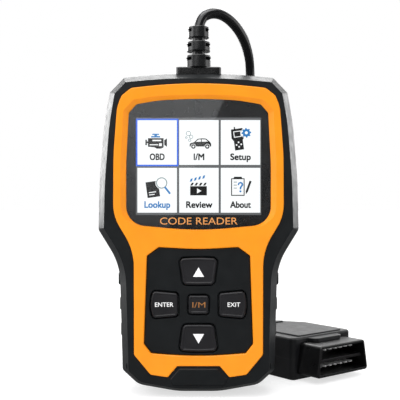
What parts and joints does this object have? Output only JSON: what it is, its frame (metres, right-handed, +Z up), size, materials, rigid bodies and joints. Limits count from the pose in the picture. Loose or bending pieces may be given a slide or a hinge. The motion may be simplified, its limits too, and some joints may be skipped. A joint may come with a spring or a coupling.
{
  "type": "obd code reader",
  "caption": "Hand-held vehicle code reader with a colour display, raised rim, press keys, ribbed strain relief, cable and flat diagnostic plug.",
  "frame": {"origin": "bottom centre of the reader's box as it stands upright", "axes": "+Z up along the reader's length, the face with display and keys towards -Y, +X to the reader's right as one looks at its face"},
  "size_m": [0.1358, 0.1159, 0.184],
  "materials": {
    "casing_black": "fine moulded texture, satin",
    "trim_orange": "satin",
    "label_grey": "printed film",
    "lens_clear": "polished",
    "mask_black": "printed film",
    "tape_grey": "foam tape",
    "steel": "pressed",
    "display_glass": "polished",
    "backlight_white": "diffuse",
    "flex_amber": "film",
    "connector_black": "moulded",
    "silicone_grey": "soft",
    "key_charcoal": "satin",
    "carbon_black": "matt",
    "contact_gold": "plated",
    "board_green": "solder mask",
    "chip_black": "moulded",
    "can_metal": "drawn",
    "ferrite": "sintered",
    "ceramic_tan": "fired",
    "header_white": "moulded",
    "wire_colours": "insulation",
    "relief_rubber": "soft moulded",
    "cable_black": "smooth sheath",
    "plug_black": "fine moulded texture",
    "insert_black": "moulded",
    "pin_metal": "plated"
  },
  "bodies": {
    "casing": {"front_shell": "casing_black", "back_shell": "casing_black", "trim_bezel": "trim_orange", "rear_label": "label_grey", "display_lens": "lens_clear", "lens_mask": "mask_black", "lens_tape": "tape_grey", "lcd_frame": "steel", "lcd_panel": "display_glass", "lcd_backlight": "backlight_white", "lcd_flex": "flex_amber", "lcd_socket": "connector_black", "keypad_mat": "silicone_grey", "key_domes": "silicone_grey", "key_contacts": "contact_gold", "main_board": "board_green", "microcontroller": "chip_black", "flash_memory": "chip_black", "bus_transceivers": "chip_black", "voltage_regulator": "chip_black", "crystal": "can_metal", "power_inductor": "ferrite", "electrolytic_capacitors": "can_metal", "ceramic_capacitors": "ceramic_tan", "board_screws": "steel", "case_screws": "steel", "cable_header": "header_white", "harness_plug": "header_white", "harness_wires": "wire_colours", "strain_relief": "relief_rubber", "cable_lead": "cable_black", "cable_coil": "cable_black", "cable_tail": "cable_black", "plug_lower_shell": "plug_black", "plug_upper_shell": "plug_black", "plug_insert": "insert_black", "plug_pins": "pin_metal", "plug_screws": "steel", "plug_strain_relief": "relief_rubber"},
    "up_key": {"key_up": "key_charcoal", "pill_up": "carbon_black"},
    "down_key": {"key_down": "key_charcoal", "pill_down": "carbon_black"},
    "enter_key": {"key_enter": "key_charcoal", "pill_enter": "carbon_black"},
    "exit_key": {"key_exit": "key_charcoal", "pill_exit": "carbon_black"},
    "centre_key": {"key_centre": "key_charcoal", "pill_centre": "carbon_black"}
  },
  "joints": [
    {"name": "up_key_press", "type": "slide", "parent": "casing", "child": "up_key", "axis": [0, 1, 0], "range_m": [0, 0.001], "stiffness_N_per_m": 1500, "deforming": ["key_domes"]},
    {"name": "down_key_press", "type": "slide", "parent": "casing", "child": "down_key", "axis": [0, 1, 0], "range_m": [0, 0.001], "stiffness_N_per_m": 1500, "deforming": ["key_domes"]},
    {"name": "enter_key_press", "type": "slide", "parent": "casing", "child": "enter_key", "axis": [0, 1, 0], "range_m": [0, 0.001], "stiffness_N_per_m": 1500, "deforming": ["key_domes"]},
    {"name": "exit_key_press", "type": "slide", "parent": "casing", "child": "exit_key", "axis": [0, 1, 0], "range_m": [0, 0.001], "stiffness_N_per_m": 1500, "deforming": ["key_domes"]},
    {"name": "centre_key_press", "type": "slide", "parent": "casing", "child": "centre_key", "axis": [0, 1, 0], "range_m": [0, 0.001], "stiffness_N_per_m": 1500, "deforming": ["key_domes"]}
  ]
}
